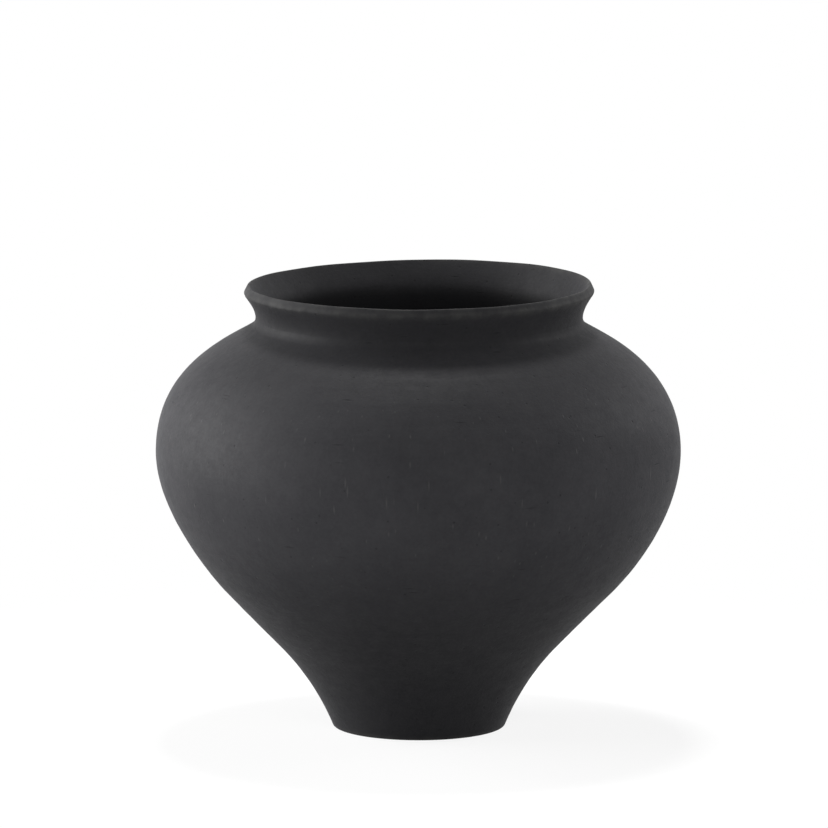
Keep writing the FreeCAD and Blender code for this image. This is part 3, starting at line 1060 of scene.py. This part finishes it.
def white_surroundings(ambient):
    """A world that looks white and lights the jar with only a little of it."""
    world = bpy.data.worlds.new("Studio Surroundings")
    world.use_nodes = True
    tree = world.node_tree
    tree.nodes.clear()
    lighting = tree.nodes.new("ShaderNodeBackground")
    lighting.inputs["Strength"].default_value = ambient
    backdrop = tree.nodes.new("ShaderNodeBackground")
    for background in (lighting, backdrop):
        background.inputs["Color"].default_value = opaque(WHITE)
    output = tree.nodes.new("ShaderNodeOutputWorld")
    mixed = mix_shaders(tree, seen_directly(tree), lighting, backdrop)
    tree.links.new(mixed.outputs[0], output.inputs["Surface"])
    return world


def share_of_shadow(tree):
    """How much of the jar's shadow the floor shows: less the farther away it falls."""
    place = tree.nodes.new("ShaderNodeTexCoord")
    away = tree.nodes.new("ShaderNodeVectorMath")
    away.operation = "LENGTH"
    tree.links.new(place.outputs["Object"], away.inputs[0])
    fade = tree.nodes.new("ShaderNodeMapRange")
    fade.interpolation_type = "SMOOTHERSTEP"
    for name, value in zip(("From Min", "From Max", "To Min", "To Max"), (*SHADOW_FADE, SHADOW_SHARE, 0)):
        fade.inputs[name].default_value = value
    tree.links.new(away.outputs["Value"], fade.inputs["Value"])
    return fade.outputs["Result"]


def floor_paper():
    """Pale paper, which looks nearly white and keeps a faint shadow of the jar."""
    material = bpy.data.materials.new("Studio Floor")
    material.use_nodes = True
    tree = material.node_tree
    tree.nodes.clear()
    glow = tree.nodes.new("ShaderNodeEmission")
    glow.inputs["Color"].default_value = opaque(WHITE)
    paper = tree.nodes.new("ShaderNodeBsdfDiffuse")
    paper.inputs["Color"].default_value = opaque(FLOOR_SEEN)
    matt = tree.nodes.new("ShaderNodeBsdfDiffuse")
    matt.inputs["Color"].default_value = opaque(FLOOR_LIT)
    output = tree.nodes.new("ShaderNodeOutputMaterial")
    seen = mix_shaders(tree, share_of_shadow(tree), glow, paper)
    mixed = mix_shaders(tree, seen_directly(tree), matt, seen)
    tree.links.new(mixed.outputs[0], output.inputs["Surface"])
    return material


def pale_floor():
    """A round floor of paper for the jar to stand on."""
    bpy.ops.mesh.primitive_circle_add(vertices=FLOOR_CORNERS, radius=FLOOR_RADIUS, fill_type="NGON")
    floor = bpy.context.object
    floor.name = "studio_floor"
    floor.data.materials.append(floor_paper())


def aimed(made, place, target):
    """Stands a lamp or the camera at a place and turns it to a target."""
    made.location = place
    made.rotation_mode = "QUATERNION"
    made.rotation_quaternion = (target - place).to_track_quat("-Z", "Y")
    bpy.context.collection.objects.link(made)
    return made


def round_about(centre, bearing, elevation, distance):
    """A place round the centre. A bearing of 0 is in front of the jar, a quarter turn on its right."""
    outwards = Vector((math.sin(bearing), -math.cos(bearing), 0)) * math.cos(elevation)
    return centre + (outwards + Vector((0, 0, math.sin(elevation)))) * distance


def softbox(name, watts, target):
    """A large soft lamp in its place in the studio."""
    lamp = LAMPS[name]
    light = bpy.data.lights.new(f"{name}_softbox", "AREA")
    light.shape = "RECTANGLE"
    light.size = lamp.width
    light.size_y = lamp.height
    light.energy = watts
    place = round_about(target, math.radians(lamp.bearing), math.radians(lamp.elevation), lamp.distance)
    aimed(bpy.data.objects.new(light.name, light), place, target)


class SetStudio(bpy.types.Operator):
    """Set up the floor, the surroundings, the softboxes and the camera"""

    bl_idname = "jar.set_studio"
    bl_label = "Set Studio"

    def execute(self, context):
        studio = context.scene.jar_studio
        middle = Vector((0, 0, (CAD_LOW.z + CAD_HIGH.z) / 2))
        pale_floor()
        context.scene.world = white_surroundings(studio.ambient)
        for name in LAMPS:
            softbox(name, getattr(studio, f"{name}_power"), middle)

        camera = bpy.data.cameras.new("photo_camera")
        camera.lens = studio.focal
        pivot = Vector((0, 0, AXIS_POINT))
        place = round_about(pivot, 0, studio.elevation, studio.distance)
        upwards = Vector((0, math.sin(studio.elevation), math.cos(studio.elevation)))
        target = pivot + upwards * AIM_RISE + Vector((-AIM_LEFT, 0, 0))
        context.scene.camera = aimed(bpy.data.objects.new("photo_camera", camera), place, target)
        context.scene.view_settings.view_transform = "Standard"
        return {"FINISHED"}


class JarPanel(bpy.types.Panel):
    """Lists the steps that make the jar"""

    bl_idname = "VIEW3D_PT_thrown_jar"
    bl_label = "Thrown Jar"
    bl_space_type = "VIEW_3D"
    bl_region_type = "UI"
    bl_category = "Jar"

    def draw(self, context):
        for step in STEPS:
            self.layout.operator(step.bl_idname)


GROUPS = {"jar_sizes": JarSizes, "jar_surface": JarSurface, "jar_studio": JarStudio}
STEPS = (TurnFoot, ThrowLowerWall, ThrowShoulder, FlareCollar, ColourSlip, SetStudio)


def register():
    """Makes the sizes, the steps and the panel known."""
    for kind in (*GROUPS.values(), *STEPS, JarPanel):
        bpy.utils.register_class(kind)
    for name, group in GROUPS.items():
        setattr(bpy.types.Scene, name, PointerProperty(type=group))


def unregister():
    """Takes back what register did, in the opposite order."""
    for name in GROUPS:
        delattr(bpy.types.Scene, name)
    for kind in (JarPanel, *reversed(STEPS), *reversed(GROUPS.values())):
        bpy.utils.unregister_class(kind)


def main():
    """Makes the jar and its studio."""
    register()
    bpy.ops.jar.turn_foot()
    bpy.ops.jar.throw_lower_wall()
    bpy.ops.jar.throw_shoulder()
    bpy.ops.jar.flare_collar()
    bpy.ops.jar.colour_slip()
    bpy.ops.jar.set_studio()


if __name__ == "__main__":
    main()
